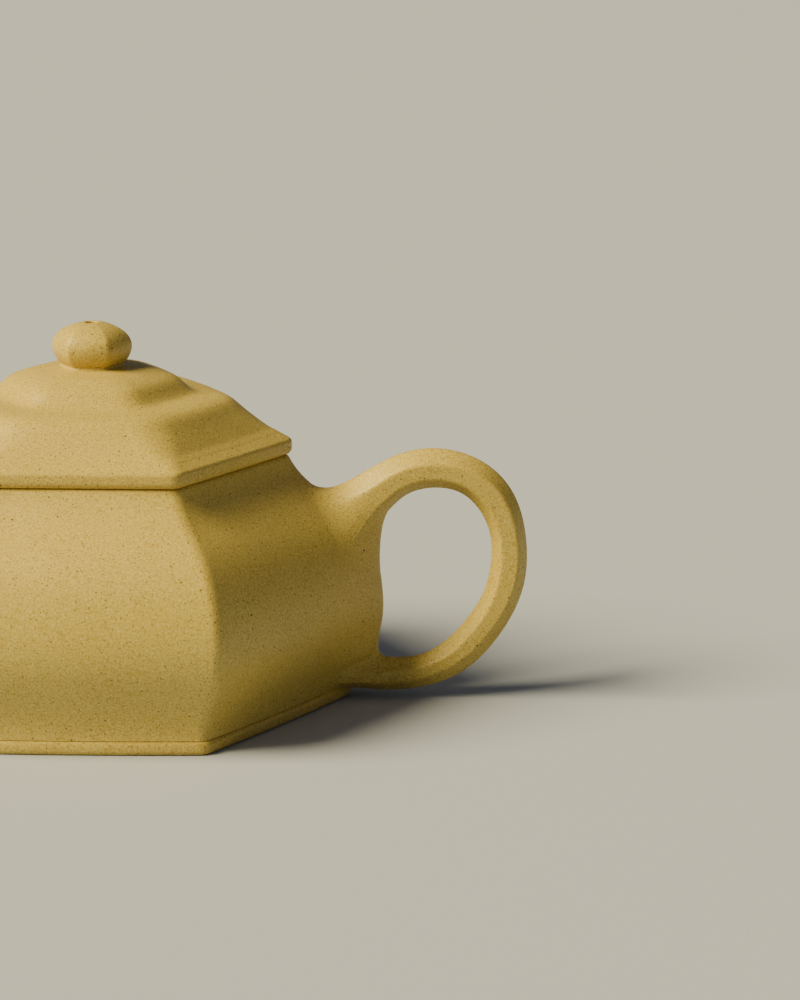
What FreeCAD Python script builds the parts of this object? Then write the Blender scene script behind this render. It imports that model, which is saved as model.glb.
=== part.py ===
import FreeCAD, Part
import math
import os
from FreeCAD import Vector

# Six-sided clay teapot, built from luted slabs. Millimetres, +Z up.
# The origin is the middle of the base on the table. +X points at the handle, -X at the spout.
# Every level of the pot is a hexagon with corners on +X and -X. Its size is given by the ridge
# radius, which is the distance from the axis to the rounded corner.

# Driving dimensions of the pot
sides = 6
half_side = math.radians(180 / sides)
ridge_round = 2.6
side_bow = 420.0
wall_thickness = 3.0
base_ridge = 46.7
base_thickness = 2.6
base_edge_round = 1.0
base_hollow_ridge = 37.0
base_hollow_depth = 0.6
seat_height = 45.3
mouth_ring_thickness = 2.4
wall_top = seat_height - mouth_ring_thickness
mouth_ridge = 29.0
mouth_round = 3.0
mouth_edge_round = 0.5
inner_round = 1.2
level_count = 9
ring_levels = 3
far = 200.0
seam_tolerance = 0.002
level_tolerance = 0.01

# Ridge outline of the pot as spline poles (radius, height): foot, belly, shoulder, neck
ridge_poles = [
    (46.2, base_thickness), (46.0, 7.0), (53.6, 14.5), (51.4, 28.5),
    (45.0, 36.6), (37.5, 40.5), (35.3, seat_height),
]

# The walls' outline drawn on below the base, so that roots beside it end cleanly
skirt_levels = [(46.4, -6.0), (46.25, -1.7)]

# Where the side flats of the handle's and spout's sections begin, as a share of the section's depth
flat_start = 0.25

# Handle stations from upper root to lower root: outer point (x, z), inner point (x, z), half width
handle_round = 1.3
upper_root_round = 4.5
lower_root_round = 1.5
handle_split = 23.0
handle_stations = [
    ((38.5, 35.0), (44.5, 27.5), 3.8),
    ((46.0, 40.2), (51.0, 32.2), 3.8),
    ((50.0, 42.7), (54.0, 35.0), 3.75),
    ((55.5, 45.3), (57.2, 37.8), 3.7),
    ((63.0, 46.6), (62.6, 39.0), 3.5),
    ((71.0, 44.0), (67.6, 37.5), 3.4),
    ((76.7, 38.0), (70.8, 33.6), 3.3),
    ((79.1, 28.5), (72.2, 28.2), 3.2),
    ((77.5, 19.0), (70.9, 20.4), 3.1),
    ((72.4, 10.8), (67.3, 14.2), 3.0),
    ((65.3, 4.8), (62.6, 9.6), 2.8),
    ((57.5, 2.4), (57.4, 7.6), 2.8),
    ((51.0, 1.9), (51.3, 7.7), 2.9),
    ((42.0, 1.9), (42.5, 7.9), 3.1),
]

# Spout stations from root to tip: upper point (x, z), lower point (x, z), half width, wall
spout_round = 1.8
spout_root_round = 6.0
spout_stations = [
    ((-36.0, 37.0), (-43.0, 7.0), 9.0, 2.6),
    ((-46.0, 35.6), (-52.6, 13.0), 8.2, 2.6),
    ((-52.4, 35.0), (-59.2, 18.4), 7.2, 2.4),
    ((-58.0, 36.2), (-64.6, 24.6), 6.3, 2.1),
    ((-62.8, 39.2), (-70.0, 31.6), 5.5, 1.8),
    ((-66.6, 42.8), (-75.0, 38.6), 4.9, 1.5),
    ((-69.8, 46.6), (-79.0, 45.4), 4.5, 1.3),
]

# Strainer ball over the hole behind the spout
wall_hole_radius = 6.5
wall_hole_height = 23.0
strainer_centre = -46.0
strainer_radius = 8.4
strainer_thickness = 1.5
strainer_hole_radius = 1.0
strainer_rings = [(0, 1), (28, 6), (54, 11)]

# Driving dimensions of the lid
lid_bow = 1500.0
plate_ridge = 36.1
plate_top = 49.2
plate_lower_round = 1.2
eave_ridge = 34.0
eave_drop = 1.15
eave_edge_round = 0.9
flange_ridge = 28.4
flange_round = 2.6
flange_inner_ridge = 25.6
flange_depth = 6.4
flange_edge_round = 0.6
dome_levels = 26
dome_foot_round = 0.07
dome_round = 0.33
dome_foot_bow = 30.0
dome_bow = 4.0
dome_bow_rise = 6.0
dome_poles = [
    (eave_ridge, plate_top), (33.3, 49.58), (32.3, 49.95), (31.0, 50.8), (28.9, 52.3), (26.8, 54.0),
    (25.0, 55.7), (22.6, 56.2), (20.2, 56.4), (18.4, 56.6), (16.9, 57.9), (15.5, 59.4), (13.2, 60.4),
    (10.0, 61.15), (5.0, 61.5),
]
dome_inner_levels = 8
dome_inner_poles = [(28.6, plate_top), (24.0, 53.2), (15.5, 53.6), (11.0, 57.8), (3.0, 58.4)]
dome_top = dome_poles[-1][1]

# Knob: a flattened six-sided ball, spread a little at the foot where it stands on the dome
knob_ridge = 7.25
knob_centre = 65.2
knob_below = 5.3
knob_above = 4.35
knob_round = 0.15
knob_bow = 2.4
knob_foot_ridge = 6.1
knob_foot_height = 0.5
knob_levels = 9
knob_top_angle = 75.0
vent_radius = 1.1


# Shared geometry

def arc(start, middle, end):
    """Edge along a circular arc through three points."""
    return Part.Arc(start, middle, end).toShape()


def place(outward, along, height, degrees):
    """Point given by its distance out along a side's normal and along that side."""
    turn = math.radians(degrees)
    x = outward * math.cos(turn) - along * math.sin(turn)
    y = outward * math.sin(turn) + along * math.cos(turn)
    return Vector(x, y, height)


def side_shape(ridge, corner_round, bow):
    """One bowed side: how far its arc's centre lies behind the axis, and where it meets the corner."""
    corner = ridge - corner_round
    corner_out = corner * math.cos(half_side)
    corner_along = corner * math.sin(half_side)
    behind = math.sqrt((bow - corner_round) ** 2 - corner_along ** 2) - corner_out
    reach = bow / (bow - corner_round)
    return behind, (corner_out + behind) * reach - behind, corner_along * reach


def hexagon_wire(ridge, height, corner_round, bow):
    """Closed hexagon of bowed sides and rounded corners."""
    behind, meet_out, meet_along = side_shape(ridge, corner_round, bow)
    step = 360 / sides
    edges = []
    for number in range(sides):
        turn = step * (number + 0.5)
        side_start = place(meet_out, -meet_along, height, turn)
        side_middle = place(bow - behind, 0, height, turn)
        side_end = place(meet_out, meet_along, height, turn)
        corner_middle = place(ridge, 0, height, turn + step / 2)
        next_start = place(meet_out, -meet_along, height, turn + step)
        edges.append(arc(side_start, side_middle, side_end))
        edges.append(arc(side_end, corner_middle, next_start))
    return Part.Wire(edges)


def hexagon_prism(ridge, low, high, corner_round, bow):
    """Upright prism on a bowed hexagon."""
    return Part.Face(hexagon_wire(ridge, low, corner_round, bow)).extrude(Vector(0, 0, high - low))


def outline(poles):
    """Smooth curve in the XZ plane from poles given as (radius, height)."""
    curve = Part.BSplineCurve()
    curve.buildFromPoles([Vector(radius, 0, height) for radius, height in poles], False, 3)
    return curve


def outline_points(poles, count):
    """Points spaced evenly along an outline, as (radius, height)."""
    return [(point.x, point.z) for point in outline(poles).discretize(Number=count)]


def rounded_polygon(corners, radius):
    """Closed wire through flat corners, each rounded by the same radius."""
    lines = []
    arcs = []
    starts = []
    ends = []
    count = len(corners)
    for number, corner in enumerate(corners):
        before = (corners[number - 1] - corner).normalize()
        after = (corners[(number + 1) % count] - corner).normalize()
        half_angle = before.getAngle(after) / 2
        trim = radius / math.tan(half_angle)
        bisector = (before + after).normalize()
        ends.append(corner + before * trim)
        starts.append(corner + after * trim)
        middle = corner + bisector * (radius / math.sin(half_angle) - radius)
        arcs.append(arc(ends[-1], middle, starts[-1]))
    for number in range(count):
        lines.append(Part.LineSegment(starts[number], ends[(number + 1) % count]).toShape())
    edges = []
    for number in range(count):
        edges.append(arcs[number])
        edges.append(lines[number])
    return Part.Wire(edges)


def six_sided_section(first, second, half_width, radius):
    """Six-sided section with one corner at each end of the line first-second and flats facing +-Y."""
    start = Vector(first[0], 0, first[1])
    end = Vector(second[0], 0, second[1])
    near = start + (end - start) * flat_start
    distant = end + (start - end) * flat_start
    across = Vector(0, half_width, 0)
    corners = [start, near + across, distant + across, end, distant - across, near - across]
    return rounded_polygon(corners, radius)


def edges_at(shape, height):
    """Edges that lie wholly at one height."""
    low = height - level_tolerance
    high = height + level_tolerance
    return [edge for edge in shape.Edges if low < edge.BoundBox.ZMin and edge.BoundBox.ZMax < high]


def largest_solid(shape):
    """The biggest solid left by a cut."""
    return max(shape.Solids, key=lambda solid: solid.Volume)


# The pot

def ridge_at(height):
    """Ridge radius of the pot at a height, and of its inside there for an even wall."""
    curve = outline(ridge_poles)
    level = Part.LineSegment(Vector(0, 0, height), Vector(far, 0, height))
    point = curve.intersectCC(level)[0]
    ridge = Vector(point.X, point.Y, point.Z)
    slope = curve.tangent(curve.parameter(ridge))[0]
    lean = slope.x * math.cos(half_side) / slope.z
    level_thickness = wall_thickness * math.hypot(1, lean)
    return ridge.x, ridge.x - level_thickness / math.cos(half_side)


def evenly(low, high, count):
    """Evenly spaced heights."""
    return [low + (high - low) * number / (count - 1) for number in range(count)]


def pot_envelope():
    """Outer form of the walls as one block."""
    heights = evenly(base_thickness, wall_top, level_count)
    levels = skirt_levels + [(ridge_at(height)[0], height) for height in heights]
    wires = [hexagon_wire(ridge, height, ridge_round, side_bow) for ridge, height in levels]
    return Part.makeLoft(wires, True, False)


def pot_core():
    """Hollow between the walls as one block."""
    heights = evenly(base_thickness, wall_top, level_count)
    wires = [hexagon_wire(ridge_at(height)[1], height, inner_round, side_bow) for height in heights]
    return Part.makeLoft(wires, True, False)


def wedge(turn, low, high):
    """Six-sided pot's share of one side, cut along the corner planes."""
    half_width = far * math.tan(half_side)
    corners = [Vector(0, 0, low), place(far, -half_width, low, turn), place(far, half_width, low, turn)]
    return Part.Face(Part.makePolygon(corners + corners[:1])).extrude(Vector(0, 0, high - low))


def wall_panels(envelope, core):
    """Six bowed slabs, mitred at the corners. The two beside the spout share a round hole."""
    shell = envelope.cut(core)
    hole = Part.makeCylinder(wall_hole_radius, far, Vector(0, 0, wall_hole_height), Vector(-1, 0, 0))
    places = {
        "wall_panel_handle_back": 30,
        "wall_panel_back": 90,
        "wall_panel_spout_back": 150,
        "wall_panel_spout_front": 210,
        "wall_panel_front": 270,
        "wall_panel_handle_front": 330,
    }
    panels = {}
    for name, turn in places.items():
        panel = shell.common(wedge(turn, base_thickness, wall_top))
        if "spout" in name:
            panel = panel.cut(hole)
        panels[name] = largest_solid(panel)
    return panels


def base_slab():
    """Bottom slab with rounded edges and a shallow hollow underneath, so that it stands on its rim."""
    slab = hexagon_prism(base_ridge, 0, base_thickness, ridge_round, side_bow)
    slab = slab.makeFillet(base_edge_round, edges_at(slab, 0) + edges_at(slab, base_thickness))
    hollow = hexagon_prism(base_hollow_ridge, 0, base_hollow_depth, ridge_round, side_bow)
    return slab.cut(hollow)


def mouth_ring():
    """Slab that closes the top of the walls, with the six-sided mouth cut through it."""
    heights = evenly(wall_top, seat_height, ring_levels)
    wires = [hexagon_wire(ridge_at(height)[0], height, ridge_round, side_bow) for height in heights]
    mouth = hexagon_prism(mouth_ridge, wall_top, seat_height, mouth_round, side_bow)
    ring = Part.makeLoft(wires, True, False).cut(mouth)
    return ring.makeFillet(mouth_edge_round, edges_at(ring, seat_height))


def rooted_arm(arm, envelope, radius):
    """The part of an arm that stands clear of the pot, its seam rounded into the pot's surface."""
    whole = envelope.fuse(arm)
    seam = []
    for edge in whole.Edges:
        spot = Part.Vertex(edge.valueAt((edge.FirstParameter + edge.LastParameter) / 2))
        gaps = [shape.Shells[0].distToShape(spot)[0] for shape in (envelope, arm)]
        if max(gaps) < seam_tolerance:
            seam.append(edge)
    return largest_solid(whole.makeFillet(radius, seam).cut(envelope))


def handle(envelope, base):
    """Solid ear of six-sided section, blended into the pot's corner at both roots."""
    wires = []
    for outer, inner, half_width in handle_stations:
        wires.append(six_sided_section(outer, inner, half_width, handle_round))
    arm = Part.makeLoft(wires, True, False)
    below = Part.makeBox(far, far, far, Vector(0, -far / 2, handle_split - far))
    upper = rooted_arm(arm.cut(below), envelope, upper_root_round)
    lower = rooted_arm(arm.common(below), envelope, lower_root_round)
    return largest_solid(upper.fuse(lower).removeSplitter().cut(base))


def spout(envelope):
    """Hollow six-sided spout with one bend, blended into the pot's corner."""
    outside = []
    bore = []
    for upper, lower, half_width, wall in spout_stations:
        outside.append(six_sided_section(upper, lower, half_width, spout_round))
        length = math.dist(upper, lower)
        inset = [(low - high) * wall / length for high, low in zip(upper, lower)]
        bore_upper = (upper[0] + inset[0], upper[1] + inset[1])
        bore_lower = (lower[0] - inset[0], lower[1] - inset[1])
        bore.append(six_sided_section(bore_upper, bore_lower, half_width - wall, spout_round - wall / 2))
    arm = rooted_arm(Part.makeLoft(outside, True, False), envelope, spout_root_round)
    return largest_solid(arm.cut(Part.makeLoft(bore, True, False)))


def spout_strainer(core):
    """Pierced cap of a hollow ball, trimmed where it is luted to the walls beside the spout hole."""
    centre = Vector(strainer_centre, 0, wall_hole_height)
    ball = Part.makeSphere(strainer_radius, centre)
    ball = ball.cut(Part.makeSphere(strainer_radius - strainer_thickness, centre))
    for degrees, count in strainer_rings:
        lean = math.radians(degrees)
        for number in range(count):
            around = 2 * math.pi * number / count
            across = Vector(0, math.cos(around), math.sin(around)) * math.sin(lean)
            direction = Vector(math.cos(lean), 0, 0) + across
            ball = ball.cut(Part.makeCylinder(strainer_hole_radius, far, centre, direction))
    return largest_solid(ball.common(core))


# The lid

def lid_rim_plate():
    """Six-sided plate that rests on the mouth ring, with a sloping eave from its edge up to the dome."""
    eave_foot = plate_top - eave_drop
    eave_wires = [
        hexagon_wire(plate_ridge, eave_foot, ridge_round, lid_bow),
        dome_wire(eave_ridge, plate_top),
    ]
    plate = hexagon_prism(plate_ridge, seat_height, eave_foot, ridge_round, lid_bow)
    plate = plate.fuse(Part.makeLoft(eave_wires, True, True))
    plate = plate.makeFillet(eave_edge_round, edges_at(plate, eave_foot))
    plate = plate.makeFillet(plate_lower_round, edges_at(plate, seat_height))
    return plate.cut(hexagon_prism(flange_inner_ridge, seat_height, plate_top, flange_round, lid_bow))


def lid_flange():
    """Six-sided collar under the plate. It drops into the mouth and keeps the lid from turning."""
    low = seat_height - flange_depth
    collar = hexagon_prism(flange_ridge, low, seat_height, flange_round, lid_bow)
    collar = collar.cut(hexagon_prism(flange_inner_ridge, low, seat_height, flange_round, lid_bow))
    return collar.makeFillet(flange_edge_round, edges_at(collar, low))


def dome_wire(ridge, height):
    """Level section of the dome, straight and crisp at the foot, fuller and softer higher up."""
    left = max(0, 1 - (height - plate_top) / dome_bow_rise) ** 2
    bow = ridge * (dome_bow + (dome_foot_bow - dome_bow) * left)
    corner_round = ridge * (dome_round + (dome_foot_round - dome_round) * left)
    return hexagon_wire(ridge, height, corner_round, bow)


def lid_dome(vent):
    """Hollow two-step dome on the plate, pierced by the vent."""
    outer_levels = outline_points(dome_poles, dome_levels)
    inner_levels = outline_points(dome_inner_poles, dome_inner_levels)
    outside = Part.makeLoft([dome_wire(ridge, height) for ridge, height in outer_levels], True, False)
    inside = Part.makeLoft([dome_wire(ridge, height) for ridge, height in inner_levels], True, False)
    return outside.cut(inside).cut(vent)


def lid_knob(vent):
    """Flattened six-sided ball on a spread foot, with the vent down its middle."""
    low_angle = -math.asin((knob_centre - dome_top - knob_foot_height) / knob_below)
    high_angle = math.radians(knob_top_angle)
    levels = [(knob_foot_ridge, dome_top)]
    for level in range(knob_levels):
        angle = low_angle + (high_angle - low_angle) * level / (knob_levels - 1)
        reach = knob_below if angle < 0 else knob_above
        levels.append((knob_ridge * math.cos(angle), knob_centre + reach * math.sin(angle)))
    wires = [hexagon_wire(ridge, height, knob_round * ridge, knob_bow * ridge) for ridge, height in levels]
    return Part.makeLoft(wires, True, False).cut(vent)


def main():
    os.makedirs("parts", exist_ok=True)
    envelope = pot_envelope()
    core = pot_core()
    base = base_slab()
    pieces = wall_panels(envelope, core)
    pieces["base_slab"] = base
    pieces["mouth_ring"] = mouth_ring()
    pieces["handle"] = handle(envelope, base)
    pieces["spout"] = spout(envelope)
    pieces["spout_strainer"] = spout_strainer(core)
    pieces["lid_rim_plate"] = lid_rim_plate()
    pieces["lid_flange"] = lid_flange()
    vent = Part.makeCylinder(vent_radius, seat_height, Vector(0, 0, seat_height), Vector(0, 0, 1))
    pieces["lid_dome"] = lid_dome(vent)
    pieces["lid_knob"] = lid_knob(vent)
    for name, shape in pieces.items():
        print(name, "valid", shape.isValid(), "solids", len(shape.Solids), "volume", round(shape.Volume, 1))
        shape.exportStep("parts/" + name + ".step")


main()
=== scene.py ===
import math
import bpy
import numpy as np
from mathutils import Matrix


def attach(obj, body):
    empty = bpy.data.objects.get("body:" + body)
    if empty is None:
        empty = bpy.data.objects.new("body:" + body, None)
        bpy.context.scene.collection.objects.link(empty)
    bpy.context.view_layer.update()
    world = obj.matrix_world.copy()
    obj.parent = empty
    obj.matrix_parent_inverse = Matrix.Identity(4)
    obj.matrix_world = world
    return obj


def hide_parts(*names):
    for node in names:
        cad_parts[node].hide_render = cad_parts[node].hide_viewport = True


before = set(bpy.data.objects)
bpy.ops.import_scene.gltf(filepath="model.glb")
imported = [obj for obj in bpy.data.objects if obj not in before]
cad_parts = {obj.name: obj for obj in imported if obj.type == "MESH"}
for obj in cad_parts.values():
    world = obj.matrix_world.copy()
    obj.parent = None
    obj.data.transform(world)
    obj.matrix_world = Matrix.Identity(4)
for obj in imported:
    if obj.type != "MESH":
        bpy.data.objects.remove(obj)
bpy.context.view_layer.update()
print("frame loaded:", len(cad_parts), "nodes")

# Pieces are drawn in millimetres, +X to the handle, -X to the spout, and put in as metres
mm = 0.001
halfSide = math.pi / 6     # half the angle that one side of the hexagon takes
nudge = 0.05               # step in millimetres for slopes taken by difference
crispAngle = 38.0          # degrees: faces that meet at more than this keep a crisp edge


# Shared shapes

def unit(vectors):
    # each vector divided by its own length
    return vectors / np.linalg.norm(vectors, axis=-1, keepdims=True)


def crowded(low, high, count):
    # steps from low to high that crowd together at both ends: middle plus half the span times a sine
    quarterTurns = np.linspace(-0.5, 0.5, count) * math.pi
    return (low + high) / 2 + (high - low) / 2 * np.sin(quarterTurns)


def poleCurve(poles, count):
    # cubic B-spline clamped at its ends: the poles weighted by basis functions, raised degree by degree
    poles = np.asarray(poles, float)
    knots = np.concatenate([np.zeros(3), np.linspace(0, 1, len(poles) - 2), np.ones(3)])
    along = np.linspace(0, 1 - 1e-9, count)[:, None]
    weights = ((along >= knots[:-1]) & (along < knots[1:])).astype(float)
    for degree in (1, 2, 3):
        rise = knots[degree:-1] - knots[:-degree - 1]
        fall = knots[degree + 1:] - knots[1:-degree]
        climbing = (along - knots[:-degree - 1]) / np.where(rise > 0, rise, 1) * (rise > 0)
        dropping = (knots[degree + 1:] - along) / np.where(fall > 0, fall, 1) * (fall > 0)
        weights = climbing * weights[:, :-1] + dropping * weights[:, 1:]
    return weights @ poles


def smoothThrough(places, values, at):
    # natural cubic spline: the bends at the places solve one linear system, then each span is a cubic
    places = np.asarray(places, float)
    values = np.asarray(values, float)
    values = values.reshape(len(places), -1)
    gaps = np.diff(places)
    system = np.eye(len(places))
    inner = np.arange(1, len(places) - 1)
    system[inner, inner - 1] = gaps[:-1]
    system[inner, inner] = 2 * (gaps[:-1] + gaps[1:])
    system[inner, inner + 1] = gaps[1:]
    slopes = np.diff(values, axis=0) / gaps[:, None]
    wanted = np.zeros_like(values)
    wanted[inner] = 6 * np.diff(slopes, axis=0)
    bends = np.linalg.solve(system, wanted)
    at = np.asarray(at, float)
    span = np.clip(np.searchsorted(places, at) - 1, 0, len(gaps) - 1)
    gap = gaps[span][:, None]
    left = (places[span + 1] - at)[:, None]
    right = (at - places[span])[:, None]
    cubic = (bends[span] * left ** 3 + bends[span + 1] * right ** 3) / (6 * gap)
    leftLine = (values[span] / gap - bends[span] * gap / 6) * left
    rightLine = (values[span + 1] / gap - bends[span + 1] * gap / 6) * right
    return cubic + leftLine + rightLine


def hexagonReach(turn, ridge, cornerRound, bow):
    # distance from the axis to a hexagon with corners on +X and -X, in the direction turn
    # a side is an arc of radius bow centred behind the axis, a corner a small circle on its own line
    offMiddle = np.mod(turn, 2 * halfSide) - halfSide
    corner = ridge - cornerRound
    cornerOut = corner * math.cos(halfSide)
    cornerAlong = corner * math.sin(halfSide)
    behind = np.sqrt((bow - cornerRound) ** 2 - cornerAlong ** 2) - cornerOut
    stretch = bow / (bow - cornerRound)
    meet = np.arctan2(cornerAlong * stretch, (cornerOut + behind) * stretch - behind)
    side = np.sqrt(bow ** 2 - (behind * np.sin(offMiddle)) ** 2) - behind * np.cos(offMiddle)
    offCorner = halfSide - np.abs(offMiddle)
    rounded = np.maximum(cornerRound ** 2 - (corner * np.sin(offCorner)) ** 2, 0)
    return np.where(np.abs(offMiddle) < meet, side, corner * np.cos(offCorner) + np.sqrt(rounded))


def hexagonRows(turns, ridge, height, cornerRound, bow):
    # one closed hexagon per level: reach turned round the axis, at that level's height
    ridge, height, cornerRound, bow = (
        np.broadcast_to(np.asarray(value, float), np.shape(height))[:, None]
        for value in (ridge, height, cornerRound, bow))
    reach = hexagonReach(turns, ridge, cornerRound, bow)
    return np.stack([reach * np.cos(turns), reach * np.sin(turns), height + 0 * reach], -1)


def circleRows(turns, radius, heights):
    # level circles round the axis
    radius = radius + 0 * heights[:, None] + 0 * turns
    return np.stack([radius * np.cos(turns), radius * np.sin(turns), heights[:, None] + 0 * radius], -1)


def aroundTurns(perSide):
    # directions round the axis, crowded at the six corners
    oneSide = crowded(0, 2 * halfSide, perSide + 1)[:-1]
    return (np.arange(6)[:, None] * 2 * halfSide + oneSide).ravel()


def quarterRound(radius, count):
    # quarter circle as inset from the side and distance along it, both running from 0 to the radius
    angle = np.linspace(0, math.pi / 2, count)
    return radius * (1 - np.cos(angle)), radius * np.sin(angle)


def putLoops(name, rows, ends):
    # rows of closed loops become one closed mesh: quads between neighbours, the ends joined or capped
    # ends: "ring" where the last row meets the first, "flat" for one face each, "strip" for folded loops
    rowCount, around = rows.shape[:2]
    number = np.arange(rowCount * around).reshape(rowCount, around)
    upper = np.roll(number, -1, axis=0) if ends == "ring" else number[1:]
    lower = number[:len(upper)]
    quads = np.stack([lower, np.roll(lower, -1, 1), np.roll(upper, -1, 1), upper], -1).reshape(-1, 4)
    corners = [quads.ravel()]
    sizes = [np.full(len(quads), 4)]
    if ends == "flat":
        corners += [number[0, ::-1], number[-1]]
        sizes += [np.array([around, around])]
    if ends == "strip":
        half = around // 2
        near = np.arange(half - 1)
        strip = np.stack([near + 1, near, around - 1 - near, around - 2 - near], -1)
        corners += [number[0][strip].ravel(), number[-1][strip[:, ::-1]].ravel()]
        sizes += [np.full(2 * (half - 1), 4)]
    corners = np.concatenate(corners)
    sizes = np.concatenate(sizes)
    points = rows.reshape(-1, 3) * mm
    # six times the volume that the quads enclose: below zero they face inwards and are turned round
    a, b, c, d = (points[quads[:, k]] for k in range(4))
    volume = np.sum(np.cross(a, b) * c) + np.sum(np.cross(a, c) * d)
    if volume < 0:
        corners = corners[::-1]
        sizes = sizes[::-1]
    starts = np.concatenate([[0], np.cumsum(sizes)[:-1]])
    mesh = bpy.data.meshes.new(name)
    mesh.vertices.add(len(points))
    mesh.vertices.foreach_set("co", points.ravel())
    mesh.loops.add(len(corners))
    mesh.loops.foreach_set("vertex_index", corners.astype(np.int32))
    mesh.polygons.add(len(sizes))
    mesh.polygons.foreach_set("loop_start", starts.astype(np.int32))
    mesh.update(calc_edges=True)
    mesh.shade_smooth()
    mesh.set_sharp_from_angle(angle=math.radians(crispAngle))
    piece = bpy.data.objects.new(name, mesh)
    bpy.context.scene.collection.objects.link(piece)
    return piece


def dress(piece, node, body):
    # the piece stands for a node of the frame, moves with its body and is burnished clay
    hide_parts(node)
    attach(piece, body)
    piece.data.materials.append(burnished)
    print("piece", piece.name, "faces", len(piece.data.polygons))


# Materials

def linearColour(hexCode):
    # sRGB hex to linear light
    parts = np.array([int(hexCode[k:k + 2], 16) for k in (1, 3, 5)]) / 255
    linear = np.where(parts <= 0.04045, parts / 12.92, ((parts + 0.055) / 1.055) ** 2.4)
    return (*linear, 1.0)


def addNode(tree, kind, links=(), **settings):
    # one node with its settings and its inputs, each a value or another node's output
    node = tree.nodes.new(kind)
    for key, value in settings.items():
        setattr(node, key, value)
    for socket, value in dict(links).items():
        if isinstance(value, bpy.types.NodeSocket):
            tree.links.new(value, node.inputs[socket])
        else:
            node.inputs[socket].default_value = value
    return node


def perMetre(size):
    # texture scale for a pattern whose features are that many millimetres across
    return 1 / (size * mm)


burnishedClay = {
    "name": "burnished_yellow_clay",
    "light": "#cfb658", "dark": "#bba048", "sand": "#8a6a28", "pale": "#e2ce84",
    "speck": "#4e3a16", "fleck": "#2f2211",
    # millimetres; the real grain is about half as coarse, and is drawn this large so that it shows
    "mottle": 16.0, "grain": 0.34, "wander": 22.0, "grainDepth": 0.012, "wanderDepth": 0.10,
    # where the grain's noise turns sandy or chalky, and the most of that colour that it takes
    "sandyGrain": (0.5, 0.75), "sandyMost": 0.75, "chalkyGrain": (0.48, 0.28), "chalkyMost": 0.6,
    # crushed grit: pitch of its cells in millimetres, share of cells that hold one,
    # and its largest radius in pitches
    "sandGrit": (0.55, 0.6, 0.36), "speckGrit": (0.85, 0.5, 0.25), "fleckGrit": (2.6, 0.35, 0.12),
    # the grain's noise from smooth to rough, and the roughness that it gives there
    "sheenGrain": (0.3, 0.7), "roughness": (0.34, 0.5), "ior": 1.42,
}

rawClay = dict(   # the same clay as it left the knife, not burnished: matt, and a little darker
    burnishedClay, name="raw_yellow_clay", light="#bba14f", dark="#a68b41",
    roughness=(0.62, 0.8), grainDepth=0.03)


def gritMask(tree, place, pitch, share, reach):
    # grit in some cells of a scattered pattern: a cell's own random number sets its grit's radius,
    # and the grit is full over the inner half of that radius
    cells = addNode(tree, "ShaderNodeTexVoronoi", {
        "Vector": place, "Scale": perMetre(pitch), "Randomness": 1.0})
    random = addNode(tree, "ShaderNodeSeparateColor", {0: cells.outputs["Color"]})
    radius = addNode(tree, "ShaderNodeMapRange", {
        0: random.outputs[0], 1: 1 - share, 2: 1.0, 3: 0.0, 4: reach})
    full = addNode(tree, "ShaderNodeMath", {0: radius.outputs[0], 1: 0.5}, operation="MULTIPLY")
    return addNode(tree, "ShaderNodeMapRange", {
        0: cells.outputs["Distance"], 1: radius.outputs[0], 2: full.outputs[0], 3: 0.0, 4: 1.0},
        interpolation_type="SMOOTHSTEP")


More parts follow.
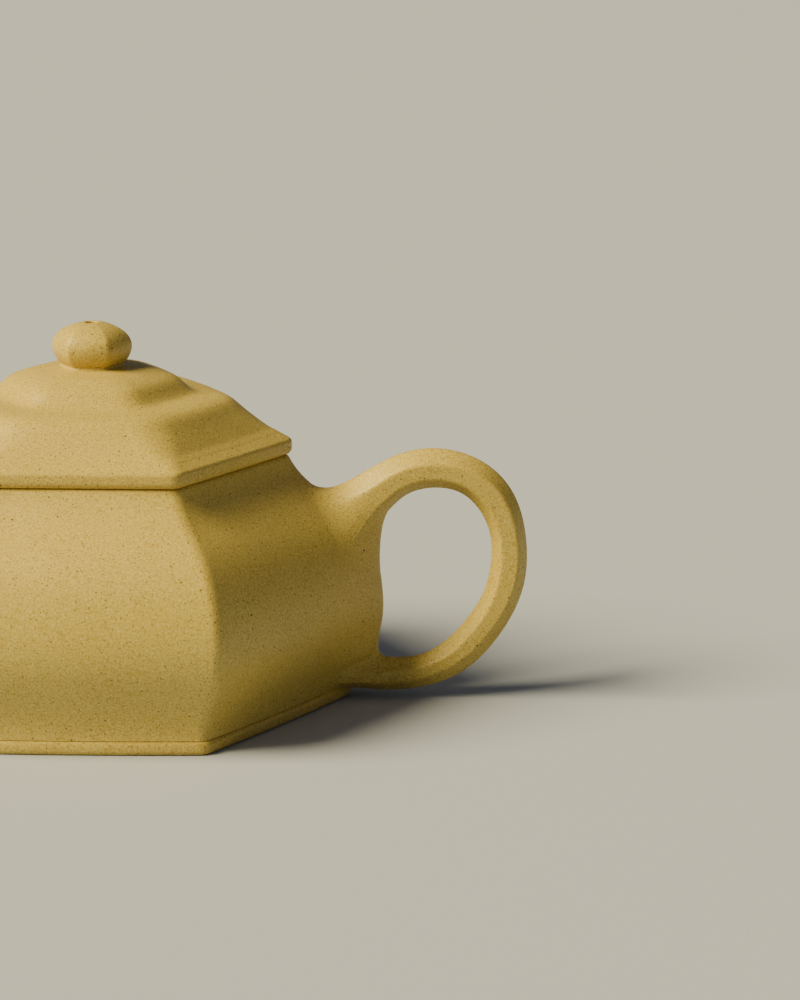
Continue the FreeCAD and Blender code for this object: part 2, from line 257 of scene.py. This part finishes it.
def clayMaterial(clay):
    # unglazed yellow clay with crushed-stone grit, fired, its outside burnished with a horn spatula:
    # a sandy grain, dark flecks and a soft sheen where the tool has closed the surface
    # numbered sockets: Map Range takes a value, the two ends it comes from and the two it goes to,
    # and Mix takes a share and two colours
    material = bpy.data.materials.new(clay["name"])
    material.use_nodes = True
    tree = material.node_tree
    shader = tree.nodes["Principled BSDF"]
    place = addNode(tree, "ShaderNodeTexCoord").outputs["Object"]
    mottle = addNode(tree, "ShaderNodeTexNoise", {
        "Vector": place, "Scale": perMetre(clay["mottle"]), "Detail": 4.0, "Roughness": 0.6})
    grain = addNode(tree, "ShaderNodeTexNoise", {
        "Vector": place, "Scale": perMetre(clay["grain"]), "Detail": 2.0, "Roughness": 0.7})
    wander = addNode(tree, "ShaderNodeTexNoise", {
        "Vector": place, "Scale": perMetre(clay["wander"]), "Detail": 1.0})
    low, high = clay["sandyGrain"]
    sandy = addNode(tree, "ShaderNodeMapRange", {
        0: grain.outputs[0], 1: low, 2: high, 3: 0.0, 4: clay["sandyMost"]})
    high, low = clay["chalkyGrain"]
    chalky = addNode(tree, "ShaderNodeMapRange", {
        0: grain.outputs[0], 1: high, 2: low, 3: 0.0, 4: clay["chalkyMost"]})
    layers = (
        (sandy, "sand"), (chalky, "pale"),
        (gritMask(tree, place, *clay["sandGrit"]), "sand"),
        (gritMask(tree, place, *clay["speckGrit"]), "speck"),
        (gritMask(tree, place, *clay["fleckGrit"]), "fleck"))
    colour = addNode(tree, "ShaderNodeMix", {
        0: mottle.outputs[0], 6: linearColour(clay["light"]), 7: linearColour(clay["dark"])},
        data_type="RGBA")
    for mask, layerColour in layers:
        colour = addNode(tree, "ShaderNodeMix", {
            0: mask.outputs[0], 6: colour.outputs[2], 7: linearColour(clay[layerColour])},
            data_type="RGBA")
    smooth, rough = clay["sheenGrain"]
    glossy, matt = clay["roughness"]
    sheen = addNode(tree, "ShaderNodeMapRange", {
        0: grain.outputs[0], 1: smooth, 2: rough, 3: glossy, 4: matt})
    drift = addNode(tree, "ShaderNodeBump", {
        "Strength": 1.0, "Distance": clay["wanderDepth"] * mm, "Height": wander.outputs[0]})
    relief = addNode(tree, "ShaderNodeBump", {
        "Strength": 1.0, "Distance": clay["grainDepth"] * mm, "Height": grain.outputs[0],
        "Normal": drift.outputs[0]})
    tree.links.new(colour.outputs[2], shader.inputs["Base Color"])
    tree.links.new(sheen.outputs[0], shader.inputs["Roughness"])
    tree.links.new(relief.outputs[0], shader.inputs["Normal"])
    shader.inputs["IOR"].default_value = clay["ior"]
    return material


burnished = clayMaterial(burnishedClay)
raw = clayMaterial(rawClay)
print("materials made")


# The pot's walls

pot = {
    "ridgePoles": [(46.2, 2.6), (46.0, 7.0), (53.6, 14.5), (51.4, 28.5),
                   (45.0, 36.6), (37.5, 40.5), (35.3, 45.3)],
    "outlineSteps": 2001, "ridgeRound": 2.6, "sideBow": 420.0, "wall": 3.0, "innerRound": 1.2,
    "foot": 2.6, "wallTop": 42.9, "seat": 45.3, "across": 81, "levels": 91,
    "spoutHole": 6.5, "spoutHoleHeight": 23.0,
    # each wall slab's middle in degrees, and the end that gives way to the hole behind the spout
    "panels": [("wall_panel_handle_back", 30, 0), ("wall_panel_back", 90, 0),
               ("wall_panel_spout_back", 150, 1), ("wall_panel_spout_front", 210, -1),
               ("wall_panel_front", 270, 0), ("wall_panel_handle_front", 330, 0)],
}
ridgeLine = poleCurve(pot["ridgePoles"], pot["outlineSteps"])


def ridgeAt(height):
    # ridge radius of the pot at a height, read off the outline
    return np.interp(height, ridgeLine[:, 1], ridgeLine[:, 0])


def innerRidgeAt(height):
    # ridge radius of the inside, for an even wall square to the slope
    lean = (ridgeAt(height + nudge) - ridgeAt(height - nudge)) / (2 * nudge) * math.cos(halfSide)
    return ridgeAt(height) - pot["wall"] * np.hypot(1, lean) / math.cos(halfSide)


spine = {   # clay smoothed over the handle's corner between its roots: height and how far it stands out
    "heights": [2.6, 4.5, 6.5, 8.5, 9.5, 10.5, 13.0, 16.0, 19.0, 22.0, 26.0, 29.5, 33.0, 36.0,
                42.9, 46.0],
    "standsOut": [0.0, 1.0, 2.4, 3.6, 3.3, 2.75, 1.75, 1.0, 0.5, 0.3, 0.5, 0.9, 0.8, 0.2, 0.0, 0.0],
    "width": 7.0, "reach": 22.0,
}


def spineOut(across, height):
    # a bell across the corner, its top following the heights
    top = smoothThrough(spine["heights"], spine["standsOut"], np.ravel(height))
    return np.maximum(top.reshape(np.shape(height)), 0) * np.exp(-(across / spine["width"]) ** 2)


def potRows(turns, heights, inside):
    # the wall's outer or inner face: a hexagon of the outline's ridge radius at every height
    if inside:
        return hexagonRows(turns, innerRidgeAt(heights), heights, pot["innerRound"], pot["sideBow"])
    rows = hexagonRows(turns, ridgeAt(heights), heights, pot["ridgeRound"], pot["sideBow"])
    nearHandle = (rows[..., 0] > 0) & (np.abs(rows[..., 1]) < spine["reach"])
    rows[..., 0] += spineOut(rows[..., 1], rows[..., 2]) * nearHandle
    return rows


def wallPanel(name, middle, holeEnd):
    # one bowed slab between two corner planes, outer face and inner face as one folded loop per height
    # holeEnd is the end of the span, -1 or 1, that gives way to the round hole behind the spout
    heights = crowded(pot["foot"], pot["wallTop"], pot["levels"])
    span = crowded(-1, 1, pot["across"])[None, :]
    rise = heights - pot["spoutHoleHeight"]
    opening = np.sqrt(np.maximum(pot["spoutHole"] ** 2 - rise ** 2, 0))
    notch = np.arcsin(opening / ridgeAt(heights))[:, None] * abs(holeEnd)
    turns = math.radians(middle) + span * halfSide - holeEnd * notch * (1 + span * holeEnd) / 2
    outside = potRows(turns, heights, False)
    inside = potRows(turns, heights, True)
    return putLoops(name, np.concatenate([outside, inside[:, ::-1]], 1), "strip")


for panelName, panelMiddle, panelHoleEnd in pot["panels"]:
    dress(wallPanel("clay_" + panelName, panelMiddle, panelHoleEnd), panelName, "pot")


# Base and mouth ring

base = {"ridge": 46.7, "edgeRound": 1.0, "edgeSteps": 9, "perSide": 48,
        "hollowRidge": 37.0, "hollowSlope": 0.6, "hollowDepth": 0.6}


def baseSlab():
    # hexagonal slab with rounded edges, hollowed a little underneath, as a stack of hexagons
    inset, rise = quarterRound(base["edgeRound"], base["edgeSteps"])
    ridges = np.concatenate([
        [base["hollowRidge"] - base["hollowSlope"], base["hollowRidge"]],
        base["ridge"] - inset[::-1], base["ridge"] - inset])
    heights = np.concatenate([
        [base["hollowDepth"], 0],
        base["edgeRound"] - rise[::-1], pot["foot"] - base["edgeRound"] + rise])
    rounds = pot["ridgeRound"] - np.clip(base["ridge"] - ridges, 0, base["edgeRound"])
    turns = aroundTurns(base["perSide"])[None, :]
    rows = hexagonRows(turns, ridges, heights, rounds, pot["sideBow"])
    return putLoops("clay_base_slab", rows, "flat")


mouth = {"ridge": 29.0, "cornerRound": 3.0, "edgeRound": 0.7, "edgeSteps": 7, "slopeSteps": 9,
         "perSide": 48}


def mouthRing():
    # slab that closes the top of the walls: outer slope, rounded edge, seat, and the rounded mouth
    turns = aroundTurns(mouth["perSide"])[None, :]
    edge = mouth["edgeRound"]
    inset, rise = quarterRound(edge, mouth["edgeSteps"])
    slope = crowded(pot["wallTop"], pot["seat"] - edge, mouth["slopeSteps"])
    slopeRows = potRows(turns, slope, False)
    edgeHeights = pot["seat"] - edge + rise[1:]
    edgeRidges = ridgeAt(edgeHeights) - inset[1:]
    edgeCorners = pot["ridgeRound"] - inset[1:]
    edgeRows = hexagonRows(turns, edgeRidges, edgeHeights, edgeCorners, pot["sideBow"])
    mouthRidges = np.concatenate([mouth["ridge"] + inset[::-1], [mouth["ridge"]]])
    mouthHeights = np.concatenate([pot["seat"] - edge + rise[::-1], [pot["wallTop"]]])
    mouthRows = hexagonRows(turns, mouthRidges, mouthHeights, mouth["cornerRound"], pot["sideBow"])
    return putLoops("clay_mouth_ring", np.concatenate([slopeRows, edgeRows, mouthRows]), "ring")


dress(baseSlab(), "base_slab", "pot")
dress(mouthRing(), "mouth_ring", "pot")


# Arms: the handle and the spout, six-sided sections carried along their stations

def armPlaces(stations):
    # distance of each section from the first, along the line through their middles
    middles = (stations[:, 0:2] + stations[:, 2:4]) / 2
    return np.concatenate([[0], np.cumsum(np.linalg.norm(np.diff(middles, axis=0), axis=1))])


def armHeading(before, at):
    # direction in which the arm's lines run at one of its loops
    return unit(at - before)


def armLoops(upper, lower, halfWidth, flats, ridgeRound, flankRound, roundSteps=9, flatSteps=7):
    # six corners on each section's plane, every corner rounded by a circle as a rational parabola
    # flats holds where the side flats begin and end, as shares of the section's depth
    along = lower - upper
    depth = np.linalg.norm(along, axis=1)
    begin, end = np.broadcast_to(flats, (len(depth), 2)).T
    share = np.stack([0 * depth, begin, end, 1 + 0 * depth, end, begin], 1)
    side = np.array([0, 1, 1, 0, -1, -1])
    edgeRound = np.stack([ridgeRound, flankRound, flankRound] * 2, 1)
    flat = np.stack([depth[:, None] * share, halfWidth[:, None] * side], -1)
    before = unit(np.roll(flat, 1, 1) - flat)
    after = unit(np.roll(flat, -1, 1) - flat)
    halfAngle = np.arccos(np.clip(np.sum(before * after, -1), -1, 1)) / 2
    trim = (edgeRound / np.tan(halfAngle))[..., None]
    start = (flat + before * trim)[:, :, None]
    finish = (flat + after * trim)[:, :, None]
    step = np.linspace(0, 1, roundSteps)[:, None]
    weights = [(1 - step) ** 2, 2 * step * (1 - step) * np.sin(halfAngle)[..., None, None], step ** 2]
    arcs = weights[0] * start + weights[1] * flat[:, :, None] + weights[2] * finish
    arcs = arcs / (weights[0] + weights[1] + weights[2])
    stride = np.linspace(0, 1, flatSteps + 2)[1:-1, None]
    facets = finish + (np.roll(start, -1, 1) - finish) * stride
    loop = np.concatenate([arcs, facets], 2).reshape(len(depth), -1, 2)
    inPlane = upper[:, None] + loop[..., :1] * (along / depth[:, None])[:, None]
    return np.stack([inPlane[..., 0], loop[..., 1], inPlane[..., 1]], -1)


def ridgeSurface(across, height, side):
    # the pot's surface beside the ridge on +X or -X: x over the place across the ridge and the height
    edge = pot["ridgeRound"]
    bow = pot["sideBow"]
    away = np.abs(across)
    corner = ridgeAt(height) - edge
    cornerAlong = corner * math.sin(halfSide)
    behind = np.sqrt((bow - edge) ** 2 - cornerAlong ** 2) - corner * math.cos(halfSide)
    offCentre = away + behind * math.sin(halfSide)
    flatSide = np.sqrt(bow ** 2 - offCentre ** 2) - behind * math.cos(halfSide)
    rounded = corner + np.sqrt(np.maximum(edge ** 2 - away ** 2, 0))
    x = np.where(away < edge * math.sin(halfSide), rounded, flatSide)
    if side > 0:
        x = x + spineOut(across, height)
    return np.stack([side * x, across, height], -1)


def rootRows(loop, heading, root, side, count):
    # lines from the arm's end loop that bend out and land along the pot's surface, each a Hermite cubic
    # the landing line, the pull at the arm and the push at the pot go by the angle round the section
    centre = (loop[0] + loop[len(loop) // 2]) / 2
    depthLine = loop[0] - loop[len(loop) // 2]
    outward = (loop - centre) @ depthLine / (depthLine @ depthLine) * 2
    angle = np.degrees(np.arctan2(loop[:, 1] / loop[:, 1].max(), outward))

    # the keys go on as their mirror image past 0 and 180 degrees, so that the line is smooth there
    keys = np.array(root["keys"], float)
    flip = np.array([-1, -1, 1, 1, 1])
    below = keys[1:-1][::-1] * flip
    beyond = (keys[::-1] * flip + [360, 0, 0, 0, 0])[1:3]
    allKeys = np.concatenate([below, keys, beyond])
    angleStep = 0.5   # degrees
    fit = smoothThrough(allKeys[:, 0], allKeys[:, 1:], np.abs(angle))
    near = smoothThrough(allKeys[:, 0], allKeys[:, 1:], np.abs(angle) + angleStep)
    mirror = np.where(angle < 0, -1, 1)
    y = fit[:, 0] * mirror
    z = fit[:, 1]
    pull = fit[:, 2:3]
    push = fit[:, 3:4]

    # square to the landing line, away from its middle
    outY = -(near[:, 1] - fit[:, 1]) * mirror
    outZ = near[:, 0] - fit[:, 0]
    away = np.sign(np.sum(outY * y + outZ * (z - z.mean()))) / np.hypot(outY, outZ)
    outY = outY * away
    outZ = outZ * away

    def surfaceRun(stepY, stepZ):
        # how the surface runs from one step before the landing to one step past it
        return ridgeSurface(y + stepY, z + stepZ, side) - ridgeSurface(y - stepY, z - stepZ, side)

    tangent = unit(surfaceRun(nudge * outY, nudge * outZ))
    normal = unit(np.cross(surfaceRun(nudge, 0), surfaceRun(0, nudge)) * side)
    landing = ridgeSurface(y, z, side) - normal * root["sink"]
    t = np.linspace(0, 1, count)[:, None, None]
    rows = (2 * t ** 3 - 3 * t ** 2 + 1) * loop + (t ** 3 - 2 * t ** 2 + t) * pull * heading
    rows = rows + (3 * t ** 2 - 2 * t ** 3) * landing + (t ** 3 - t ** 2) * push * tangent
    return np.concatenate([rows[1:], (landing - normal * root["bury"])[None]])


handle = {
    # outer point (x, z), inner point (x, z), half width, rounding of the flats' edges,
    # and where the flats begin and end
    "stations": [
        (50.0, 42.95, 54.0, 35.0, 3.75, 1.1, 0.33, 0.75),
        (55.45, 45.68, 57.2, 37.8, 3.7, 1.1, 0.33, 0.74),
        (63.0, 46.8, 62.6, 39.0, 3.5, 1.0, 0.33, 0.72),
        (71.15, 44.12, 67.6, 37.5, 3.4, 0.9, 0.28, 0.71),
        (76.7, 38.0, 70.8, 33.6, 3.3, 0.9, 0.24, 0.71),
        (79.0, 28.5, 72.2, 28.2, 3.2, 0.8, 0.23, 0.71),
        (77.99, 18.9, 70.9, 20.4, 3.1, 0.8, 0.28, 0.7),
        (73.35, 10.16, 67.2, 14.3, 3.0, 0.8, 0.35, 0.69),
        (66.05, 3.4, 62.5, 9.8, 2.8, 0.8, 0.39, 0.68),
        (57.52, 0.9, 57.4, 7.85, 2.8, 0.8, 0.39, 0.67),
        (53.44, 0.75, 54.0, 7.85, 2.85, 0.8, 0.33, 0.63),
    ],
    "ridgeRound": 1.3, "rows": 150, "rootRows": 40,
    # landing keys: angle round the section, place across the ridge, height, pull at the arm
    # and push at the pot
    "upperRoot": {"sink": 0.03, "bury": 1.2, "keys": [
        (0, 0.0, 40.1, 16.0, 12.0), (70, 7.4, 35.8, 14.0, 14.0), (92, 10.3, 31.0, 13.0, 16.0),
        (104, 10.2, 28.2, 12.0, 15.0), (118, 8.2, 26.2, 11.5, 14.0), (150, 4.2, 23.8, 9.0, 12.0),
        (180, 0.0, 22.5, 8.0, 11.0)]},
    "lowerRoot": {"sink": 0.03, "bury": 1.2, "keys": [
        (0, 0.0, 1.6, 6.0, 1.0), (40, 5.5, 1.9, 9.0, 8.0), (62, 8.2, 2.6, 14.0, 13.0),
        (78, 8.8, 4.2, 15.0, 14.0), (90, 8.2, 5.7, 15.0, 13.0), (97, 6.6, 6.6, 14.0, 9.0),
        (103, 5.0, 7.0, 12.0, 6.0), (125, 2.9, 7.9, 9.0, 4.0), (150, 1.6, 8.8, 6.0, 3.5),
        (180, 0.0, 9.3, 4.4, 3.4)]},
}


def clayHandle():
    # ear of six-sided section through its stations, with a flared root at each end
    stations = np.array(handle["stations"])
    places = armPlaces(stations)
    along = smoothThrough(places, stations, np.linspace(0, places[-1], handle["rows"]))
    ridgeRound = np.full(len(along), handle["ridgeRound"])
    loops = armLoops(along[:, 0:2], along[:, 2:4], along[:, 4], along[:, 6:8], ridgeRound, along[:, 5])
    upperHeading = armHeading(loops[1], loops[0])
    lowerHeading = armHeading(loops[-2], loops[-1])
    upper = rootRows(loops[0], upperHeading, handle["upperRoot"], 1, handle["rootRows"])
    lower = rootRows(loops[-1], lowerHeading, handle["lowerRoot"], 1, handle["rootRows"])
    return putLoops("clay_handle", np.concatenate([upper[::-1], loops, lower]), "flat")


dress(clayHandle(), "handle", "pot")

spout = {
    "stations": [   # upper point (x, z), lower point (x, z), half width, wall
        (-52.4, 35.0, -59.2, 18.4, 7.2, 2.4), (-58.0, 36.2, -64.6, 24.6, 6.3, 2.1),
        (-62.8, 39.2, -70.0, 31.6, 5.5, 1.8), (-66.6, 42.8, -75.0, 38.6, 4.9, 1.5),
        (-69.5, 46.2, -78.7, 45.0, 4.5, 1.3),
    ],
    "boreRoot": [(-36.0, 37.0, -43.0, 7.0, 9.0, 2.6), (-46.0, 35.6, -52.6, 13.0, 8.2, 2.6)],
    "flats": (0.25, 0.75), "edgeRound": 1.8, "rows": 90, "rootRows": 36, "boreRows": 60,
    "lipRise": 0.5, "lipSteps": 9,
    "root": {"sink": 0.03, "bury": 1.0, "keys": [
        (0, 0.0, 40.6, 9.0, 9.0), (45, 8.8, 38.0, 10.0, 11.0), (90, 13.4, 25.0, 17.0, 14.0),
        (135, 10.0, 12.6, 12.0, 12.0), (180, 0.0, 7.6, 9.0, 11.0)]},
}


def claySpout():
    # hollow six-sided spout: from its flared root along the outside, over the lip and back in the bore
    stations = np.array(spout["stations"])
    places = armPlaces(stations)
    along = smoothThrough(places, stations, np.linspace(0, places[-1], spout["rows"]))
    rounds = np.full(len(along), spout["edgeRound"])
    loops = armLoops(along[:, 0:2], along[:, 2:4], along[:, 4], spout["flats"], rounds, rounds)
    root = rootRows(loops[0], armHeading(loops[1], loops[0]), spout["root"], -1, spout["rootRows"])

    # the bore's sections are the spout's, brought in by the wall
    outer = np.array(spout["boreRoot"] + spout["stations"])
    wall = outer[:, 5:6]
    inset = unit(outer[:, 2:4] - outer[:, 0:2]) * wall
    bore = np.concatenate([
        outer[:, 0:2] + inset, outer[:, 2:4] - inset, outer[:, 4:5] - wall,
        spout["edgeRound"] - wall / 2], 1)
    borePlaces = armPlaces(bore)
    back = np.linspace(borePlaces[-1], borePlaces[1], spout["boreRows"])
    within = smoothThrough(borePlaces, bore, back)
    boreLoops = armLoops(
        within[:, 0:2], within[:, 2:4], within[:, 4], spout["flats"], within[:, 5], within[:, 5])

    # the lip is half an ellipse from the outside to the bore
    lip = np.linspace(0, math.pi, spout["lipSteps"])[1:-1, None, None]
    lipMiddle = (loops[-1] + boreLoops[0]) / 2
    rise = armHeading(loops[-2], loops[-1]).mean(0) * spout["lipRise"]
    lipRows = lipMiddle + (loops[-1] - boreLoops[0]) / 2 * np.cos(lip) + rise * np.sin(lip)
    return putLoops("clay_spout", np.concatenate([root[::-1], loops, lipRows, boreLoops]), "ring")


dress(claySpout(), "spout", "pot")


# The lid

plate = {"ridge": 36.1, "top": 49.2, "eaveRidge": 34.0, "eaveDrop": 1.15, "edgeRound": 0.9,
         "lowerRound": 1.2, "holeRidge": 25.6, "holeRound": 2.6, "bow": 1020.0, "cornerRound": 2.6,
         "edgeSteps": 9, "perSide": 48}

dome = {
    "poles": [(34.0, 49.2), (33.3, 49.58), (32.3, 49.95), (31.0, 50.8), (28.9, 52.3), (26.8, 54.0),
              (25.0, 55.7), (22.6, 56.2), (20.2, 56.4), (18.4, 56.6), (16.9, 57.9), (15.5, 59.4),
              (13.2, 60.4), (10.0, 61.15), (5.0, 61.5)],
    "innerPoles": [(28.6, 49.2), (24.0, 53.2), (15.5, 53.6), (11.0, 57.8), (3.0, 58.4)],
    # corner rounding and bow of the sides in ridge radii, and the rise over which they change
    "cornerShare": 0.33, "footCornerShare": 0.07, "footBow": 30.0, "bow": 4.0, "bowRise": 6.0,
    "ventRadius": 1.1, "perSide": 40, "levels": 140, "innerLevels": 40,
}


def lidPlate():
    # rim plate: rounded lower edge, side, rounded upper edge, sloping eave, and the hole in its middle
    # the upper edge is a circle that touches the side and the eave
    turns = aroundTurns(plate["perSide"])[None, :]
    steps = plate["edgeSteps"]
    lowInset, lowRise = quarterRound(plate["lowerRound"], steps)
    eaveInset = plate["ridge"] - plate["eaveRidge"]
    eaveLean = math.atan2(eaveInset, plate["eaveDrop"])
    edgeAngle = np.linspace(0, eaveLean, steps)
    edgeMiddle = plate["top"] - plate["eaveDrop"] - plate["edgeRound"] * math.tan(eaveLean / 2)
    edgeInsets = plate["edgeRound"] * (1 - np.cos(edgeAngle))
    edgeHeights = edgeMiddle + plate["edgeRound"] * np.sin(edgeAngle)
    insets = np.concatenate([
        lowInset[::-1], edgeInsets, crowded(edgeInsets[-1], eaveInset, steps)[1:]])
    heights = np.concatenate([
        pot["seat"] + plate["lowerRound"] - lowRise[::-1], edgeHeights,
        crowded(edgeHeights[-1], plate["top"], steps)[1:]])
    domeCorner = dome["footCornerShare"] * plate["eaveRidge"]
    rounds = np.concatenate([
        plate["cornerRound"] - lowInset[::-1],
        np.linspace(plate["cornerRound"], domeCorner, len(insets) - len(lowInset))])
    edgeRows = hexagonRows(turns, plate["ridge"] - insets, heights, rounds, plate["bow"])
    holeHeights = np.array([plate["top"], pot["seat"]])
    holeRows = hexagonRows(turns, plate["holeRidge"], holeHeights, plate["holeRound"], plate["bow"])
    return putLoops("clay_lid_rim_plate", np.concatenate([edgeRows, holeRows]), "ring")


def domeRows(turns, outline):
    # level hexagons of the dome: straight sides and crisp corners at the foot, softer higher up
    ridge = outline[:, 0]
    left = np.maximum(0, 1 - (outline[:, 1] - plate["top"]) / dome["bowRise"]) ** 2
    bow = ridge * (dome["bow"] + (dome["footBow"] - dome["bow"]) * left)
    corner = ridge * (dome["cornerShare"] + (dome["footCornerShare"] - dome["cornerShare"]) * left)
    return hexagonRows(turns, ridge, outline[:, 1], corner, bow)


def lidDome():
    # two-step dome, pierced by the vent, hollow underneath
    turns = aroundTurns(dome["perSide"])[None, :]
    outside = domeRows(turns, poleCurve(dome["poles"], dome["levels"]))
    inside = domeRows(turns, poleCurve(dome["innerPoles"], dome["innerLevels"]))
    ventHeights = np.array([dome["poles"][-1][1], dome["innerPoles"][-1][1]])
    vent = circleRows(turns, dome["ventRadius"], ventHeights)
    return putLoops("clay_lid_dome", np.concatenate([outside, vent, inside[::-1]]), "ring")


knob = {"ridge": 7.25, "centre": 65.2, "below": 5.3, "above": 4.29,
        "cornerShare": 0.14, "bowShare": 2.4,
        "footHeight": 0.5, "waist": (5.45, 61.53), "foot": (6.4, 61.38), "footLevels": 12,
        "topAngle": 78.0, "ventDepth": 0.4, "perSide": 40, "levels": 60, "rollLevels": 14}


def lidKnob():
    # flattened six-sided ball, its foot spread on to the dome and its top rolled over into the vent,
    # both by a quadratic curve
    turns = aroundTurns(knob["perSide"])[None, :]
    foot = dome["poles"][-1][1]
    lowest = -math.asin((knob["centre"] - foot - knob["footHeight"]) / knob["below"])
    angle = np.linspace(lowest, math.radians(knob["topAngle"]), knob["levels"])
    ridge = knob["ridge"] * np.cos(angle)
    height = knob["centre"] + np.where(angle < 0, knob["below"], knob["above"]) * np.sin(angle)
    spread = np.linspace(1, 0, knob["footLevels"], endpoint=False)[:, None]
    flare = (1 - spread) ** 2 * np.array([ridge[0], height[0]])
    flare = flare + 2 * spread * (1 - spread) * np.array(knob["waist"])
    flare = flare + spread ** 2 * np.array(knob["foot"])
    ridge = np.concatenate([flare[:, 0], ridge])
    height = np.concatenate([flare[:, 1], height])
    ball = hexagonRows(turns, ridge, height, knob["cornerShare"] * ridge, knob["bowShare"] * ridge)
    lip = circleRows(turns, dome["ventRadius"], height[-1:] - knob["ventDepth"])
    over = circleRows(turns, dome["ventRadius"], height[-1:])
    t = np.linspace(0, 1, knob["rollLevels"])[1:, None, None]
    roll = (1 - t) ** 2 * ball[-1] + 2 * t * (1 - t) * over + t ** 2 * lip
    shaft = circleRows(turns, dome["ventRadius"], np.array([foot]))
    return putLoops("clay_lid_knob", np.concatenate([ball, roll, shaft]), "ring")


dress(lidPlate(), "lid_rim_plate", "lid")
dress(lidDome(), "lid_dome", "lid")
dress(lidKnob(), "lid_knob", "lid")

for nodeName in ("lid_flange", "spout_strainer"):
    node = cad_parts[nodeName]
    node.data.materials.clear()
    node.data.materials.append(raw)
print("lid and inner pieces done")


# Floor, light and camera

studio = {
    "floor": 6.0, "floorColour": "#b3b9c8", "floorRoughness": 0.9,
    "worldColour": "#d8deea", "world": 0.15,
    "keyFrom": (-0.70, -0.28, 0.66), "keyColour": "#ffefba", "keyStrength": 7.5, "keySpread": 34.0,
    "lens": 136.8, "sensor": 36, "cameraAt": (0.07834, -0.67445, 0.1877),
    "cameraTilt": 77.4, "cameraTurn": 1.92,
}


def studioFloor():
    # flat square under the pot
    half = studio["floor"]
    corners = [(-half, -half, 0), (half, -half, 0), (half, half, 0), (-half, half, 0)]
    mesh = bpy.data.meshes.new("floor")
    mesh.from_pydata(corners, [], [(0, 1, 2, 3)])
    floor = bpy.data.objects.new("floor", mesh)
    bpy.context.scene.collection.objects.link(floor)
    paper = bpy.data.materials.new("floor_paper")
    paper.use_nodes = True
    shader = paper.node_tree.nodes["Principled BSDF"]
    shader.inputs["Base Color"].default_value = linearColour(studio["floorColour"])
    shader.inputs["Roughness"].default_value = studio["floorRoughness"]
    mesh.materials.append(paper)


def studioLights():
    # one broad lamp far off, so that the floor is lit evenly, and a dim even sky
    lamp = bpy.data.lights.new("key", "SUN")
    lamp.energy = studio["keyStrength"]
    lamp.angle = math.radians(studio["keySpread"])
    lamp.color = linearColour(studio["keyColour"])[:3]
    key = bpy.data.objects.new("key", lamp)
    x, y, z = studio["keyFrom"]
    key.rotation_euler = (math.atan2(math.hypot(x, y), z), 0, math.atan2(y, x) + math.pi / 2)
    bpy.context.scene.collection.objects.link(key)
    world = bpy.data.worlds.new("studio")
    world.use_nodes = True
    sky = world.node_tree.nodes["Background"]
    sky.inputs["Color"].default_value = linearColour(studio["worldColour"])
    sky.inputs["Strength"].default_value = studio["world"]
    bpy.context.scene.world = world


def photoCamera():
    # the photograph's place and angle: slightly above, along the front of the pot
    lens = bpy.data.cameras.new("camera")
    lens.lens = studio["lens"]
    lens.sensor_width = studio["sensor"]
    camera = bpy.data.objects.new("camera", lens)
    camera.location = studio["cameraAt"]
    camera.rotation_euler = (math.radians(studio["cameraTilt"]), 0, math.radians(studio["cameraTurn"]))
    bpy.context.scene.collection.objects.link(camera)
    bpy.context.scene.camera = camera


studioFloor()
studioLights()
photoCamera()
print("studio ready")
